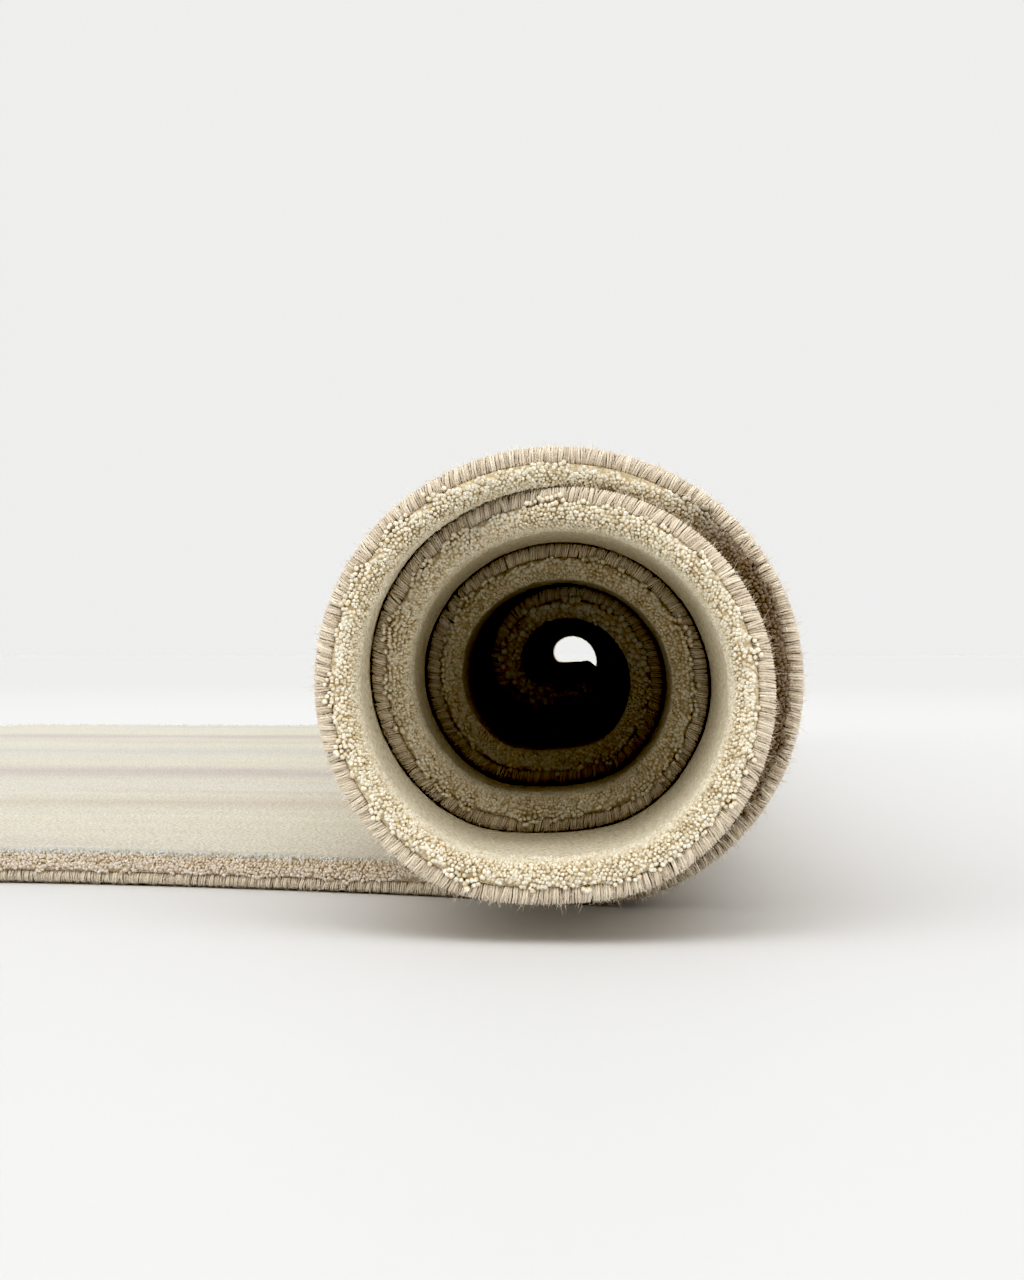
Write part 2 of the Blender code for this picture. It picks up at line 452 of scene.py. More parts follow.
def blended(nodes, links, a, b, blend="MULTIPLY"):
    """Two colours blended at full strength."""
    made = nodes.new("ShaderNodeMix")
    made.data_type = "RGBA"
    made.blend_type = blend
    made.inputs[0].default_value = 1.0
    links.new(a, made.inputs[6])
    links.new(b, made.inputs[7])
    return made.outputs[2]


def ramp(nodes, links, source, *stops):
    """A colour ramp from stops of (position, colour)."""
    made = nodes.new("ShaderNodeValToRGB")
    made.color_ramp.elements[0].position = stops[0][0]
    made.color_ramp.elements[0].color = (*stops[0][1], 1.0)
    made.color_ramp.elements[1].position = stops[-1][0]
    made.color_ramp.elements[1].color = (*stops[-1][1], 1.0)
    for position, colour in stops[1:-1]:
        made.color_ramp.elements.new(position).color = (*colour, 1.0)
    links.new(source, made.inputs[0])
    return made.outputs[0]


def fibre_noise(nodes, links, place, scale, detail):
    """Fine noise for the look of wool fibres."""
    made = node(nodes, "ShaderNodeTexNoise", Scale=scale, Detail=detail, Roughness=0.7)
    links.new(place, made.inputs["Vector"])
    return made.outputs["Fac"]


def add_bump(nodes, links, height, strength, distance, onto=None, invert=False):
    """The normal of a bumped surface, on top of another bump if there is one."""
    made = node(nodes, "ShaderNodeBump", Strength=strength, Distance=distance)
    made.invert = invert
    links.new(height, made.inputs["Height"])
    if onto is not None:
        links.new(onto, made.inputs["Normal"])
    return made.outputs["Normal"]


def pile_material():
    """Single tufts: amber painted shade at the root, paler at the tip, lighter or deeper at random, and a
    painted highlight at the lip.
    """
    made, nodes, links, shader = new_material("pile")
    tint = node(nodes, "ShaderNodeAttribute", attribute_name="tint").outputs["Color"]
    tone_and_highlight = node(nodes, "ShaderNodeAttribute", attribute_name="tone_and_highlight").outputs["Fac"]
    tip = node(nodes, "ShaderNodeAttribute", attribute_name="tip").outputs["Fac"]
    place = node(nodes, "ShaderNodeTexCoord").outputs["Object"]
    fibres = fibre_noise(nodes, links, place, 1400.0, 3.0)
    # Amber painted shade at the roots of the tufts, paling to white at their tips.
    root = ramp(nodes, links, tip, (0.0, TUFT_ROOT_SHADE), (0.55, TUFT_MIDDLE_SHADE), (0.9, WHITE))
    grain = ramp(nodes, links, fibres, (0.30, (0.80, 0.78, 0.74)), (0.70, (1.12, 1.12, 1.12)))
    toned = ramp(nodes, links, tone_and_highlight, (0.0, TUFT_DARK), (0.5, WHITE), (1.0, TUFT_LIGHT))
    colour = tint
    for shade in (root, grain, toned):
        colour = blended(nodes, links, colour, shade)
    links.new(colour, shader.inputs["Base Color"])
    shader.inputs["Roughness"].default_value = 0.95
    shader.inputs["Specular IOR Level"].default_value = 0.15
    shader.inputs["Sheen Weight"].default_value = 0.25
    shader.inputs["Sheen Roughness"].default_value = 0.6
    links.new(add_bump(nodes, links, fibres, 0.5, 0.0004), shader.inputs["Normal"])
    return made


def field_material():
    """The pile's surface away from the edges, where tufts are bump, with painted shade between them and painted
    light on their tips.
    """
    made, nodes, links, shader = new_material("pile_field")
    tint = node(nodes, "ShaderNodeAttribute", attribute_name="tint").outputs["Color"]
    place = node(nodes, "ShaderNodeTexCoord").outputs["Object"]
    tufts = node(nodes, "ShaderNodeTexVoronoi", Scale=560.0, feature="F1")
    links.new(place, tufts.inputs["Vector"])
    from_tuft = tufts.outputs["Distance"]
    fibres = fibre_noise(nodes, links, place, 900.0, 4.0)
    # Painted shade between the tufts of the field, and painted light on their tips.
    tips = ramp(nodes, links, from_tuft, (0.15, (1.12, 1.12, 1.11)), (0.72, (0.82, 0.77, 0.66)))
    grain = ramp(nodes, links, fibres, (0.30, (0.87, 0.865, 0.85)), (0.70, (1.08, 1.08, 1.10)))
    colour = tint
    for shade in (tips, grain):
        colour = blended(nodes, links, colour, shade)
    links.new(colour, shader.inputs["Base Color"])
    shader.inputs["Roughness"].default_value = 0.97
    shader.inputs["Specular IOR Level"].default_value = 0.12
    shader.inputs["Sheen Weight"].default_value = 0.25
    shader.inputs["Sheen Roughness"].default_value = 0.6
    tuft_bump = add_bump(nodes, links, from_tuft, 0.8, 0.0010, invert=True)
    links.new(add_bump(nodes, links, fibres, 0.6, 0.0005, onto=tuft_bump), shader.inputs["Normal"])
    return made


def yarn_material():
    made, nodes, links, shader = new_material("serging_yarn")
    tint = node(nodes, "ShaderNodeAttribute", attribute_name="tint").outputs["Color"]
    place = node(nodes, "ShaderNodeTexCoord").outputs["Object"]
    fibres = fibre_noise(nodes, links, place, 1800.0, 3.0)
    grain = ramp(nodes, links, fibres, (0.30, (0.88, 0.87, 0.85)), (0.70, (1.08, 1.08, 1.08)))
    links.new(blended(nodes, links, tint, grain), shader.inputs["Base Color"])
    shader.inputs["Roughness"].default_value = 0.9
    shader.inputs["Specular IOR Level"].default_value = 0.2
    shader.inputs["Sheen Weight"].default_value = 0.2
    shader.inputs["Sheen Roughness"].default_value = 0.5
    links.new(add_bump(nodes, links, fibres, 0.5, 0.0003), shader.inputs["Normal"])
    return made


def canvas_material():
    """Plain woven cotton backing cloth, glued on, in uneven tones."""
    made, nodes, links, shader = new_material("canvas_back")
    place = node(nodes, "ShaderNodeUVMap", uv_map="rug").outputs["UV"]
    warp = node(nodes, "ShaderNodeTexWave", Scale=260.0, Distortion=1.2, Detail=1.0, bands_direction="X")
    weft = node(nodes, "ShaderNodeTexWave", Scale=260.0, Distortion=1.2, Detail=1.0, bands_direction="Y")
    patches = node(nodes, "ShaderNodeTexNoise", Scale=9.0, Detail=5.0, Roughness=0.6)
    for texture in (warp, weft, patches):
        links.new(place, texture.inputs["Vector"])
    weave = blended(nodes, links, warp.outputs["Color"], weft.outputs["Color"], blend="LIGHTEN")
    cloth = ramp(nodes, links, patches.outputs["Fac"], (0.30, CANVAS_DARK), (0.70, CANVAS_LIGHT))
    shade = ramp(nodes, links, weave, (0.0, (0.70, 0.66, 0.60)), (1.0, (1.05, 1.05, 1.05)))
    links.new(blended(nodes, links, cloth, shade), shader.inputs["Base Color"])
    shader.inputs["Roughness"].default_value = 0.92
    shader.inputs["Specular IOR Level"].default_value = 0.2
    links.new(add_bump(nodes, links, weave, 0.6, 0.0005), shader.inputs["Normal"])
    return made


# ---------------------------------------------------------------- the pile's rounded edge, seen end on
EDGE_ROUND = 0.0060
EDGE_RISE = 0.0062
EDGE_CENTRE_UP = THICKNESS - EDGE_RISE
EDGE_START = radians(-18.0)
EDGE_SAMPLES = 200


def edge_curve():
    """Length along the pile's edge, from its lip over the binding inwards, and the round part's angle."""
    angles = np.linspace(EDGE_START, pi / 2.0, EDGE_SAMPLES)
    inset = EDGE_ROUND * (1.0 - np.cos(angles))
    up = EDGE_CENTRE_UP + EDGE_RISE * np.sin(angles)
    return np.concatenate([[0.0], np.cumsum(np.hypot(np.diff(inset), np.diff(up)))]), angles


EDGE_LENGTHS, EDGE_ANGLES = edge_curve()


def edge_profile(reach):
    """(inset, up, outward inset part, outward up part) at a length along the edge, and inwards past it."""
    angle = np.interp(reach, EDGE_LENGTHS, EDGE_ANGLES)
    past = np.maximum(reach - EDGE_LENGTHS[-1], 0.0)
    before = np.minimum(reach, 0.0)
    inset = EDGE_ROUND * (1.0 - np.cos(angle)) + past
    up = EDGE_CENTRE_UP + EDGE_RISE * np.sin(angle) + before
    return inset, up, np.cos(angle), np.sin(angle)


# ---------------------------------------------------------------- ground cloth and the body of the pile
GROUND = 0.0030
GROUND_PROFILE = ((0.0050, 0.0), (0.0046, GROUND * 0.5), (0.0050, GROUND))
GROUND_STEP = 0.02
GROUND_STEPS_PER_TURN = 48
GROUND_COLUMNS = 30
BODY_FOOT = ((0.0052, GROUND + 0.0003), (0.0050, EDGE_CENTRE_UP - 0.0018))
BODY_ROUND_ANGLES = (-0.35, 0.1, 0.5, 0.9, 1.25)
BODY_TOP_INSET = EDGE_ROUND + 0.004
BODY_STEP = 0.007
BODY_STEPS_PER_TURN = 96
BODY_COLUMNS = 110
BODY_ROUGHNESS = 0.0005
UNDER_TIPS = 0.0005
CORNER_STEPS = 4
# Amber painted shade under the tufts near the rim, where the roots lie in the tufts' own shade.
ROOT_PAINTED_SHADE = (0.78, 0.64, 0.42)
ROOT_SHADE_SHARE = 0.45
ROOT_UNTIL = 0.006
ROOT_FADE = 0.010


def body_stations(step, steps_per_turn):
    """Places along the rug between its corners: even steps on the flat part, then even parts of a turn."""
    flat = np.linspace(CORNER_RADIUS, FLAT_LENGTH, round(FLAT_LENGTH / step))
    turns = np.arange(1, int(turn_at(LENGTH - CORNER_RADIUS) * steps_per_turn) + 1) / steps_per_turn
    return np.concatenate([flat, along_at(turns), [LENGTH - CORNER_RADIUS]])


def near_outline(stations, inset):
    """(along, across) down the near side at an inset, with half of each corner's arc."""
    corner = np.linspace(0.0, pi / 2.0, CORNER_STEPS + 1)
    arc = CORNER_RADIUS - inset
    start = CORNER_RADIUS - arc * np.cos(corner)
    end = LENGTH - CORNER_RADIUS + arc * np.cos(corner[::-1])
    turning = CORNER_RADIUS - arc * np.sin(corner)
    along = np.concatenate([start, stations[1:-1], end])
    across = np.concatenate([turning, np.full(len(stations) - 2, inset), turning[::-1]])
    return along, across


def outline_ring(stations, shares, inset, up):
    """(along, across, up) round the rug: down the near side, across the core side, back, and across."""
    near_along, near_across = near_outline(stations, inset)
    short_across = near_across[0] + (WIDTH - 2.0 * near_across[0]) * shares
    core_side = np.full(len(shares), near_along[-1])
    loose_side = np.full(len(shares), near_along[0])
    along = np.concatenate([near_along, core_side, near_along[::-1], loose_side])
    across = np.concatenate([near_across, short_across, WIDTH - near_across[::-1], short_across[::-1]])
    return np.stack([along, across, np.full(len(along), up)])


def slab_faces(rings, count, columns):
    """Faces of a slab whose rings have `count` points a long side. The points inside the top ring come
    last, row by row, and the top is a grid of `columns` points from the near side to the far side."""
    between = columns - 2
    ring = 2 * (count + between)
    near = np.arange(count)
    core = count + np.arange(between)
    far = count + between + np.arange(count)[::-1]
    loose = 2 * count + between + np.arange(between)[::-1]
    top_ring = (rings - 1) * ring
    top = np.empty((count, columns), np.int64)
    top[:, 0] = top_ring + near
    top[:, -1] = top_ring + far
    top[0, 1:-1] = top_ring + loose
    top[-1, 1:-1] = top_ring + core
    top[1:-1, 1:-1] = rings * ring + np.arange((count - 2) * between).reshape(count - 2, between)
    return [
        grid_faces(rings, ring),
        np.stack([top[:-1, :-1], top[1:, :-1], top[1:, 1:], top[:-1, 1:]], axis=-1).reshape(-1, 4),
        np.stack([near[1:-2], far[1:-2], far[2:-1], near[2:-1]], axis=1),
        np.concatenate([near[[1, 0]], loose, far[[0, 1]]])[None],
        np.concatenate([far[[-2, -1]], core[::-1], near[[-1, -2]]])[None],
    ]


def slab(name, profile, stations, columns, material, roughness, colour_of):
    """A closed sheet. Rings go round its edge by the profile, from its underside to its top; then a grid
    fills the top, and strips from side to side fill the underside."""
    shares = np.linspace(0.0, 1.0, columns)[1:-1]
    rings = [outline_ring(stations, shares, inset, up) for inset, up in profile]
    top_inset, top_up = profile[-1]
    near_along, near_across = near_outline(stations, top_inset)
    inner_along = np.repeat(near_along[1:-1, None], len(shares), axis=1)
    inner_across = near_across[1:-1, None] + (WIDTH - 2.0 * near_across[1:-1, None]) * shares[None, :]
    inner = np.stack([inner_along.ravel(), inner_across.ravel(), np.full(inner_along.size, top_up)])
    along, across, up = np.concatenate([*rings, inner], axis=1)
    is_top = np.arange(len(up)) >= (len(rings) - 1) * rings[0].shape[1]
    up = up + is_top * roughness * rough_noise(along * 60.0, across * 60.0, 5)
    faces = slab_faces(len(rings), len(near_along), columns)
    tint = {"tint": colour_of(along, across)}
    piece = mesh_piece(name, wound(along, across, up), faces, material, tint)
    corners = np.zeros(len(piece.data.loops), np.int32)
    piece.data.loops.foreach_get("vertex_index", corners)
    uv = np.stack([along[corners], across[corners]], axis=1)
    piece.data.uv_layers.new(name="rug").data.foreach_set("uv", uv.astype(np.float32).reshape(-1))
    return piece


def ground_cloth():
    stations = body_stations(GROUND_STEP, GROUND_STEPS_PER_TURN)
    canvas = canvas_material()
    return slab("ground_cloth", GROUND_PROFILE, stations, GROUND_COLUMNS, canvas, 0.0, ground_colour)


def body_colour(along, across):
    """The pile's colour, with amber painted shade under the tufts at the rim, round their roots."""
    from_rim = rim_distance(along, across)
    shade_under_tufts = ROOT_SHADE_SHARE * (1.0 - eased((from_rim - ROOT_UNTIL) / ROOT_FADE))
    return pile_colour(along, across) * mixed(WHITE, ROOT_PAINTED_SHADE, shade_under_tufts)


def pile_body():
    profile = list(BODY_FOOT)
    for angle in BODY_ROUND_ANGLES:
        inset = UNDER_TIPS + EDGE_ROUND * (1.0 - np.cos(angle))
        profile.append((inset, EDGE_CENTRE_UP - UNDER_TIPS + EDGE_RISE * np.sin(angle)))
    profile.append((BODY_TOP_INSET, THICKNESS))
    stations = body_stations(BODY_STEP, BODY_STEPS_PER_TURN)
    field = field_material()
    return slab("pile_body", profile, stations, BODY_COLUMNS, field, BODY_ROUGHNESS, body_colour)


# ---------------------------------------------------------------- tufts
TUFT_SIDES = 5
TUFT_RINGS = ({"wide": 1.00, "high": -0.45, "tip": 0.0}, {"wide": 0.80, "high": 0.55, "tip": 0.8})
TUFT_TOP = 1.22
TUFT_SINK = 0.45
TUFT_LEAN = 0.28
TUFT_SIZE = 0.57
TUFT_SIZE_AT_LIP = 0.38
ROW_SPACING = 0.90
PLACES_STEP = 0.0005
PLACES_INSET = 0.004

# How far the ragged lip moves over the binding, and how far its middle hangs, as a share of that.
OVERHANG = 0.0032
OVERHANG_FLAT = 0.0024
HANG = 0.35
HANG_FLAT = 0.0
LIP_FADE = 0.0035
LIP_LOWEST = -0.0042
LIP_CLUMP = 0.0006
# How much lighter the tufts at the lip are painted: a painted highlight.
LIP_PAINTED_HIGHLIGHT = 0.30
WOUND_OVER = 0.08
MISSING_AT_LIP = 0.06
CLUMP = 0.0003
SINK_ROWS = 7.0
SINK_DEPTH = 0.0007
UNEVEN = 0.0002


def tuft_places(side, first, last, pitch):
    """Places along a side, spaced by the pile's surface, which is shorter than the back on the roll."""
    fine = np.linspace(first, last, int((last - first) / PLACES_STEP))
    points = rim_wound(side, fine, PLACES_INSET, THICKNESS)
    run = np.concatenate([[0.0], np.cumsum(np.linalg.norm(np.diff(points, axis=0), axis=1))])
    return np.interp(np.arange(pitch / 2.0, run[-1], pitch), run, fine)


def tuft_layout(side, first, last, rows, pitch):
    """Each tuft's place, reach in from the lip, row, nearness to the lip, and raggedness. Alternate rows
    are half a spacing over, and the outermost hang over the binding in ragged clumps."""
    columns = tuft_places(side, first, last, pitch)
    row_step = pitch * ROW_SPACING
    place, row = np.meshgrid(columns, np.arange(rows), indexing="ij")
    spacing = np.gradient(columns)[:, None] * np.ones(rows)
    place = place + spacing * (0.5 * (row % 2) + RNG.uniform(-0.30, 0.30, place.shape))
    rag = 0.8 * rough_noise(place * 90.0, np.full_like(place, 3.0), 81)
    rag = rag + rough_noise(place * 250.0, np.zeros_like(place), 83)
    near_lip = np.exp(-row * row_step / LIP_FADE)
    reach = (row + 0.30) * row_step + RNG.uniform(-0.28, 0.28, place.shape) * row_step
    along, _ = rim(side, place, 0.0)
    wound_share = eased((along - FLAT_LENGTH) / WOUND_OVER + 0.5)
    overhang = OVERHANG_FLAT + (OVERHANG - OVERHANG_FLAT) * wound_share
    hang = HANG_FLAT + (HANG - HANG_FLAT) * wound_share
    reach = np.maximum(reach - overhang * (rag + hang) * near_lip, LIP_LOWEST)
    keep = (RNG.uniform(size=place.shape) > MISSING_AT_LIP * near_lip) & (place < last)
    return place[keep], reach[keep], row[keep], near_lip[keep], rag[keep]


def tuft_shapes(base, size, outward, sideways):
    """Vertices of each tuft: its rings, turned at random, and its tip."""
    count = len(base)
    third = np.cross(outward, sideways)
    spin = RNG.uniform(0.0, 2.0 * pi, (count, 1)) + np.arange(TUFT_SIDES) * 2.0 * pi / TUFT_SIDES
    around = np.cos(spin)[..., None] * sideways[:, None, :] + np.sin(spin)[..., None] * third[:, None, :]
    points = []
    for ring in TUFT_RINGS:
        offset = ring["wide"] * around + ring["high"] * outward[:, None, :]
        points.append(base[:, None, :] + size[:, None, None] * offset)
    tip = base + size[:, None] * TUFT_TOP * outward
    return np.concatenate([*points, tip[:, None, :]], axis=1)


def tufts(name, side, first, last, rows, pitch, material):
    """Rows of tuft tips over the rounded edge and inwards, each a small dome set at its own lean. The
    innermost sink into the body of the pile."""
    place, reach, row, near_lip, rag = tuft_layout(side, first, last, rows, pitch)
    count = len(place)
    inset, up, out_inset, out_up = edge_profile(reach)
    clump = CLUMP * rough_noise(place * 240.0, reach * 240.0, 91)
    clump = clump + near_lip * LIP_CLUMP * np.clip(rag, -0.6, 1.0)
    sunk = SINK_DEPTH * eased((row - rows + SINK_ROWS) / SINK_ROWS) + RNG.uniform(-UNEVEN, UNEVEN, count)
    inset, up = inset - (clump - sunk) * out_inset, up + (clump - sunk) * out_up
    size = pitch * TUFT_SIZE * (1.0 + TUFT_SIZE_AT_LIP * near_lip) * RNG.uniform(0.80, 1.20, count)
    sink = TUFT_SINK * size
    base = rim_wound(side, place, inset + sink * out_inset, up - sink * out_up)
    outward = outward_from(base, side, place, inset, up, out_inset, out_up)
    outward = unit(outward + RNG.normal(0.0, TUFT_LEAN, outward.shape))
    sideways = square_to(rim_direction(side, place, inset, up), outward)
    points = tuft_shapes(base, size, outward, sideways)
    per = points.shape[1]
    k = np.arange(TUFT_SIDES)
    j = (k + 1) % TUFT_SIDES
    wall = np.stack([k, j, TUFT_SIDES + j, TUFT_SIDES + k], axis=1)
    cap = np.stack([TUFT_SIDES + k, TUFT_SIDES + j, np.full(TUFT_SIDES, 2 * TUFT_SIDES)], axis=1)
    along, across = rim(side, place, inset)
    # Each tuft is lighter or deeper at random, and those at the lip lighter still: a painted highlight.
    tone_and_highlight = np.clip(RNG.normal(0.45, 0.24, count) + LIP_PAINTED_HIGHLIGHT * near_lip, 0.0, 1.0)
    tip = np.repeat([ring["tip"] for ring in TUFT_RINGS] + [1.0], [TUFT_SIDES, TUFT_SIDES, 1])
    attributes = {
        "tint": np.repeat(pile_colour(along, across), per, axis=0),
        "tone_and_highlight": np.repeat(tone_and_highlight, per),
        "tip": np.tile(tip, count),
    }
    faces = [repeated(wall, count, per), repeated(cap, count, per)]
    return mesh_piece(name, points.reshape(-1, 3), faces, material, attributes)


# ---------------------------------------------------------------- serging
YARN = (0.790, 0.700, 0.585)
YARN_PALE = (0.940, 0.865, 0.745)
FUZZ_PALE = 0.8
STRANDS_PER_STITCH = 4
STRAND_SIDES = 4
STRAND_RADIUS = 0.54
STITCH_SWELL = 0.0011
STITCH_SEAM = 0.0005
STITCH_SLANT = 0.0006
SEAM_PAINTED_SHADE = 0.72
BINDING_HALF = 0.0037
BINDING_OUT = 0.0044
BINDING_CENTRE_INSET = 0.0052
BINDING_BULGE = 0.0010
BINDING_WRAP = radians(200.0)
BACK_LEG = 0.0050
BACK_LEG_SHARE = 0.28
ROUND_OVER = 0.1
# How much paler the yarn on the flat part is painted: painted light against its shade.
PAINTED_LIGHT_ON_FLAT = 0.6


def yarn_colour(along, across):
    return mixed(YARN, YARN_PALE, np.full(len(along), FUZZ_PALE))


def strand_path(steps, radius, swell):
    """(inset, up, angle) down each strand: a straight leg on the back, then round the edge by the angle."""
    shares = np.linspace(0.0, 1.0, steps)
    turned = np.clip((shares - BACK_LEG_SHARE) / (1.0 - BACK_LEG_SHARE), 0.0, 1.0)
    angle = -pi / 2.0 + turned * BINDING_WRAP
    on_leg = np.clip(1.0 - shares / BACK_LEG_SHARE, 0.0, 1.0)
    out = BINDING_OUT - radius[:, None] + swell[:, None] * np.cos(angle).clip(0.0)
    rise = BINDING_HALF - radius[:, None]
    inset = BINDING_CENTRE_INSET + BACK_LEG * on_leg - out * np.cos(angle)
    up = BINDING_HALF + rise * np.sin(angle)
    up = np.where(on_leg > 0.0, radius[:, None] * (0.98 - 0.5 * on_leg), up)
    return inset, up, angle


def strand_tubes(centre, sideways, third, radius):
    """Vertices round each strand's centre line."""
    points = []
    for k in range(STRAND_SIDES):
        turn = k * 2.0 * pi / STRAND_SIDES
        points.append(centre + radius[:, None, None] * (np.cos(turn) * sideways + np.sin(turn) * third))
    return np.stack(points, axis=2)


def serging(name, side, first, last, pitch, steps, material):
    """Yarn whipped over the edge: each strand goes from the back, round the edge, and in under the pile. A
    stitch is a few strands that swell together, with painted shade in the seam between it and the next. On the
    roll the yarn bulges past the back, and on the flat part it is painted paler, as painted light."""
    count = int((last - first) / pitch)
    number = np.arange(count)
    stitch = number // STRANDS_PER_STITCH
    within = (number % STRANDS_PER_STITCH + 0.5) / STRANDS_PER_STITCH
    wobble = RNG.normal(0.0, 1.0, (stitch[-1] + 1, 3))[stitch]
    radius = pitch * STRAND_RADIUS * RNG.uniform(0.85, 1.15, count)
    place = first + (number + 0.5 + 0.10 * RNG.normal(size=count)) * pitch
    swell = (STITCH_SWELL * np.sin(pi * within) - STITCH_SEAM) * (1.0 + 0.25 * wobble[:, 0])
    swell += 0.00012 * RNG.normal(size=count)
    slant = STITCH_SLANT + 0.0004 * wobble[:, 1] + 0.0001 * RNG.normal(size=count)
    along, _ = rim(side, place, 0.0)
    wound_share = eased((along - FLAT_LENGTH) / ROUND_OVER)
    inset, up, angle = strand_path(steps, radius, swell)
    up = up - BINDING_BULGE * wound_share[:, None] * (up < BINDING_HALF)
    at = place[:, None] + slant[:, None] * np.sin(angle) + RNG.normal(0.0, 0.00006, (count, steps))
    centre = rim_wound(side, at, inset, up)
    ahead = unit(np.gradient(centre, axis=1))
    sideways = square_to(rim_direction(side, at, inset, up), ahead)
    points = strand_tubes(centre, sideways, np.cross(ahead, sideways), radius)
    per = steps * STRAND_SIDES
    caps = np.array([[3, 2, 1, 0], [per - 4, per - 3, per - 2, per - 1]])
    pale_and_painted_light = 0.5 + 0.22 * RNG.normal(size=count) + 0.25 * wobble[:, 2]
    # The yarn on the flat part is painted paler: painted light against its shade.
    pale_and_painted_light = np.clip(pale_and_painted_light + PAINTED_LIGHT_ON_FLAT * (1.0 - wound_share), 0.0, 1.0)
    # Painted shade in the seams between stitches.
    seam_painted_shade = SEAM_PAINTED_SHADE + (1.0 - SEAM_PAINTED_SHADE) * np.sin(pi * within) ** 0.6
    tint = np.repeat(mixed(YARN, YARN_PALE, pale_and_painted_light) * seam_painted_shade[:, None], per, axis=0)
    faces = [repeated(grid_faces(steps, STRAND_SIDES), count, per), repeated(caps, count, per)]
    return mesh_piece(name, points.reshape(-1, 3), faces, material, {"tint": tint})


# ---------------------------------------------------------------- loose fibres
FIBRE_HALF_WIDTH = 0.00009
FIBRE_LEAN = 0.55
FIBRE_BEND = 0.6
FIBRE_MIDDLE = 0.55
FIBRE_LOWEST = 0.0001
FIBRE_POINTS = 5
BINDING_GIRTH = 0.0075


def fibre_roots(reach):
    """(inset, up, outward inset part, outward up part) on the pile's edge, or on the binding below zero."""
    inset, up, out_inset, out_up = edge_profile(np.maximum(reach, 0.0))
    low = reach < 0.0
    angle = np.where(low, -reach / BINDING_GIRTH * pi, 0.0)
    inset = np.where(low, BINDING_CENTRE_INSET - BINDING_OUT * np.sin(angle), inset)
    up = np.where(low, BINDING_HALF + BINDING_HALF * np.cos(angle), up)
    return inset, up, np.where(low, np.sin(angle), out_inset), np.where(low, np.cos(angle), out_up)


def fuzz(name, side, first, last, count, reach_range, length, material, colour_of, slot):
    """Fine fibres that stand out of the edge, each a thin bent ribbon."""
    place = RNG.uniform(first, last, count)
    inset, up, out_inset, out_up = fibre_roots(RNG.uniform(*reach_range, count))
    base = rim_wound(side, place, inset, up)
    outward = outward_from(base, side, place, inset, up, out_inset, out_up)
    direction = unit(outward + RNG.normal(0.0, FIBRE_LEAN, outward.shape))
    bend = RNG.normal(0.0, FIBRE_BEND, outward.shape)
    long = length * RNG.uniform(0.4, 1.0, (count, 1)) ** 1.5
    middle = base + direction * long * FIBRE_MIDDLE
    end = middle + (direction + bend) * long * (1.0 - FIBRE_MIDDLE)
    wide = unit(np.cross(direction, RNG.normal(size=outward.shape))) * FIBRE_HALF_WIDTH
    points = np.stack([base - wide, base + wide, middle - wide * 0.8, middle + wide * 0.8, end], axis=1)
    points[..., 2] = np.maximum(points[..., 2], FIBRE_LOWEST)
    faces = [
        repeated(np.array([[0, 1, 3, 2]]), count, FIBRE_POINTS),
        repeated(np.array([[2, 3, 4]]), count, FIBRE_POINTS),
    ]
    along, across = rim(side, place, inset)
    attributes = {
        "tint": np.repeat(colour_of(along, across), FIBRE_POINTS, axis=0),
        "tone_and_highlight": np.full(count * FIBRE_POINTS, 0.5),
        "tip": np.ones(count * FIBRE_POINTS),
    }
    return mesh_piece(name, points.reshape(-1, 3), faces, material, attributes)


# ---------------------------------------------------------------- floor, light and camera
FLOOR_SIZE = 60.0
FLOOR_HEIGHT = -0.0004
# The floor is painted dimmer away from the rug: painted shade where the studio's light falls off.
FLOOR_NEAR = 0.730
FLOOR_FAR = 0.685
FLOOR_NEAR_UNTIL = 0.9
FLOOR_FAR_FROM = 5.0

# The light by direction, in parts of the unit vector that points to where it comes from: the front is -Y.
BACKDROP = 0.890
PAPER = (1.0, 1.0, 0.995, 1.0)
ROOM = 0.03
ROOM_UNTIL = -0.86
ROOM_FADED = -0.60
FRONT = 2.4
FRONT_FULL = -0.40
FRONT_FADED = 0.05
FRONT_ABOVE = 0.35
FRONT_ABOVE_FROM = 0.60
KEY_FROM = (-0.10, -0.74, 0.66)
KEY_STRENGTH = 1.5
KEY_EDGE = 0.70
CONTRAST_GAMMA = 0.80
BLACK_LEVEL = 0.044

# The eye is in front of the near edge, level with the upper half of the core, and looks a little left of
# the roll's axis.
EYE_RIGHT_OF_ROLL = 0.0085
EYE_IN_FRONT = 0.741
EYE_HEIGHT = 0.1103
LOOK_LEFT = radians(1.804)
LOOK_UP = radians(0.229)
LENS = 56.25
SENSOR_WIDTH = 36.0
SEES_UNTIL = 200.0


def map_range(nodes, links, source, from_low, from_high, to_low, to_high):
    """A value carried smoothly from one range to another, and held past its ends."""
    made = nodes.new("ShaderNodeMapRange")
    made.interpolation_type = "SMOOTHSTEP"
    made.inputs["From Min"].default_value = from_low
    made.inputs["From Max"].default_value = from_high
    made.inputs["To Min"].default_value = to_low
    made.inputs["To Max"].default_value = to_high
    links.new(source, made.inputs["Value"])
    return made.outputs["Result"]


def arithmetic(nodes, links, operation, a, b):
    made = node(nodes, "ShaderNodeMath", operation=operation)
    links.new(a, made.inputs[0])
    links.new(b, made.inputs[1])
    return made.outputs[0]


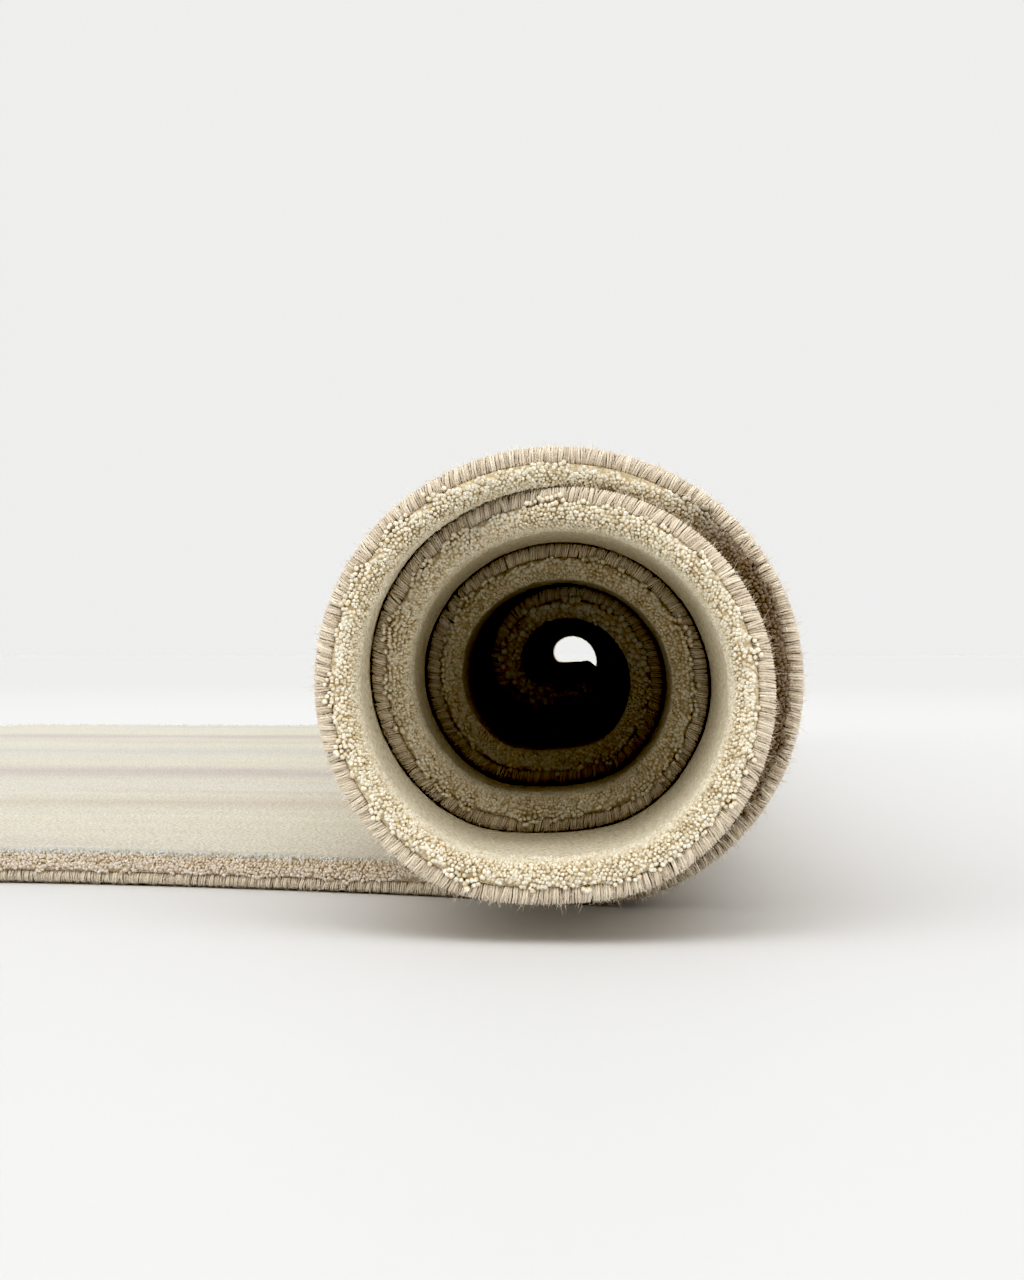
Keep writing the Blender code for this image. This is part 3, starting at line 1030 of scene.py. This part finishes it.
def world_light():
    """A white studio: even light all round, a broad soft key from the front and above, and more soft light
    from the front, most of it low. Straight in front of the roll is a dim room. The camera sees plain paper."""
    world = bpy.data.worlds.new("studio")
    world.use_nodes = True
    nodes, links = world.node_tree.nodes, world.node_tree.links
    direction = nodes.new("ShaderNodeTexCoord").outputs["Generated"]
    parts = nodes.new("ShaderNodeSeparateXYZ")
    links.new(direction, parts.inputs[0])
    back, above = parts.outputs["Y"], parts.outputs["Z"]
    towards = node(nodes, "ShaderNodeVectorMath", operation="DOT_PRODUCT")
    towards.inputs[1].default_value = KEY_FROM
    links.new(direction, towards.inputs[0])
    key_side = towards.outputs["Value"]
    studio = map_range(nodes, links, back, ROOM_UNTIL, ROOM_FADED, ROOM, 1.0)
    lights = map_range(nodes, links, key_side, KEY_EDGE, 1.0, BACKDROP, BACKDROP + KEY_STRENGTH)
    front = map_range(nodes, links, back, FRONT_FULL, FRONT_FADED, FRONT, 0.0)
    low = map_range(nodes, links, above, 0.0, FRONT_ABOVE_FROM, 1.0, FRONT_ABOVE)
    front = arithmetic(nodes, links, "MULTIPLY", front, low)
    lights = arithmetic(nodes, links, "ADD", lights, front)
    lights = arithmetic(nodes, links, "MULTIPLY", studio, lights)
    seen = nodes.new("ShaderNodeMix")
    seen.inputs["B"].default_value = BACKDROP
    links.new(nodes.new("ShaderNodeLightPath").outputs["Is Camera Ray"], seen.inputs["Factor"])
    links.new(lights, seen.inputs["A"])
    links.new(seen.outputs["Result"], nodes["Background"].inputs["Strength"])
    nodes["Background"].inputs["Color"].default_value = PAPER
    bpy.context.scene.world = world


def film():
    """More contrast than the plain transform has, and a firmer black."""
    view = bpy.context.scene.view_settings
    view.view_transform = "Standard"
    view.gamma = CONTRAST_GAMMA
    view.use_curve_mapping = True
    view.curve_mapping.black_level = [BLACK_LEVEL] * 3
    view.curve_mapping.update()


def stage():
    bpy.ops.mesh.primitive_plane_add(size=FLOOR_SIZE, location=(0.0, 0.0, FLOOR_HEIGHT))
    floor = bpy.context.object
    floor.name = "floor"
    made, nodes, links, shader = new_material("floor")
    distance = node(nodes, "ShaderNodeVectorMath", operation="LENGTH")
    links.new(nodes.new("ShaderNodeTexCoord").outputs["Object"], distance.inputs[0])
    away = distance.outputs["Value"]
    # Painted shade: the floor's grey falls with distance from the rug.
    grey = map_range(nodes, links, away, FLOOR_NEAR_UNTIL, FLOOR_FAR_FROM, FLOOR_NEAR, FLOOR_FAR)
    links.new(grey, shader.inputs["Base Color"])
    shader.inputs["Roughness"].default_value = 0.6
    shader.inputs["Specular IOR Level"].default_value = 0.1
    floor.data.materials.append(made)


def camera():
    lens = bpy.data.cameras.new("camera")
    lens.lens = LENS
    lens.sensor_width = SENSOR_WIDTH
    lens.clip_end = SEES_UNTIL
    holder = bpy.data.objects.new("camera", lens)
    holder.location = (ROLL_X + EYE_RIGHT_OF_ROLL, LOW.y - EYE_IN_FRONT, EYE_HEIGHT)
    holder.rotation_euler = (pi / 2.0 + LOOK_UP, 0.0, LOOK_LEFT)
    bpy.context.scene.collection.objects.link(holder)
    bpy.context.scene.camera = holder


# ---------------------------------------------------------------- the pieces
# The near edge has fine tufts and loose fibres only where the camera comes near it: from a place on the flat
# part to the inner wraps.
DETAIL_FROM = 0.38
OUTER_END = float(along_at(1.0))
MIDDLE_END = float(along_at(2.1))
INNER_END = float(along_at(3.2))
TUFT_STRETCHES = (
    {"name": "flat", "side": "near", "from": DETAIL_FROM, "to": FLAT_LENGTH, "rows": 16, "pitch": 0.00145},
    {"name": "outer", "side": "near", "from": FLAT_LENGTH, "to": OUTER_END, "rows": 26, "pitch": 0.00145},
    {"name": "middle", "side": "near", "from": OUTER_END, "to": MIDDLE_END, "rows": 30, "pitch": 0.00145},
    {"name": "inner", "side": "near", "from": MIDDLE_END, "to": INNER_END, "rows": 16, "pitch": 0.00165},
    {"name": "near_start", "side": "near", "from": 0.0, "to": DETAIL_FROM, "rows": 9, "pitch": 0.0026},
    {"name": "near_end", "side": "near", "from": INNER_END, "to": LONG_SIDE, "rows": 7, "pitch": 0.0028},
    {"name": "core_side", "side": "core", "from": 0.0, "to": SHORT_SIDE, "rows": 5, "pitch": 0.0040},
    {"name": "far_side", "side": "far", "from": 0.0, "to": LONG_SIDE, "rows": 7, "pitch": 0.0036},
    {"name": "loose_side", "side": "loose", "from": 0.0, "to": SHORT_SIDE, "rows": 7, "pitch": 0.0034},
)
COARSE_SERGING = (
    {"name": "core_side", "side": "core", "to": SHORT_SIDE, "pitch": 0.0026},
    {"name": "far_side", "side": "far", "to": LONG_SIDE, "pitch": 0.0027},
    {"name": "loose_side", "side": "loose", "to": SHORT_SIDE, "pitch": 0.0027},
)
COARSE_SERGING_STEPS = 6
NEAR_SERGING_PITCH = 0.00098
NEAR_SERGING_STEPS = 8
PILE_FIBRES = {"count": 9000, "reach_range": (-0.0015, 0.012), "length": 0.0036}
BINDING_FIBRES = {"count": 10000, "reach_range": (-0.0085, -0.0015), "length": 0.0050}


def main():
    stage()
    world_light()
    film()
    camera()
    pile, yarn = pile_material(), yarn_material()
    ground = ground_cloth()
    parts = [pile_body()]
    for row in TUFT_STRETCHES:
        name = "tufts_" + row["name"]
        parts.append(tufts(name, row["side"], row["from"], row["to"], row["rows"], row["pitch"], pile))
    for row in COARSE_SERGING:
        name = "serging_" + row["name"]
        parts.append(serging(name, row["side"], 0.0, row["to"], row["pitch"], COARSE_SERGING_STEPS, yarn))
    near = {"side": "near", "first": DETAIL_FROM, "last": MIDDLE_END}
    of_pile = {"material": pile, "colour_of": pile_colour, "slot": "wool_pile"}
    of_yarn = {"material": yarn, "colour_of": yarn_colour, "slot": "serging_yarn"}
    parts.append(fuzz("fuzz_pile", **near, **PILE_FIBRES, **of_pile))
    parts.append(fuzz("fuzz_binding", **near, **BINDING_FIBRES, **of_yarn))
    steps = NEAR_SERGING_STEPS
    parts.append(serging("serging_near", "near", 0.0, LONG_SIDE, NEAR_SERGING_PITCH, steps, yarn))
    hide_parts("carpet")
    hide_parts("binding")


main()
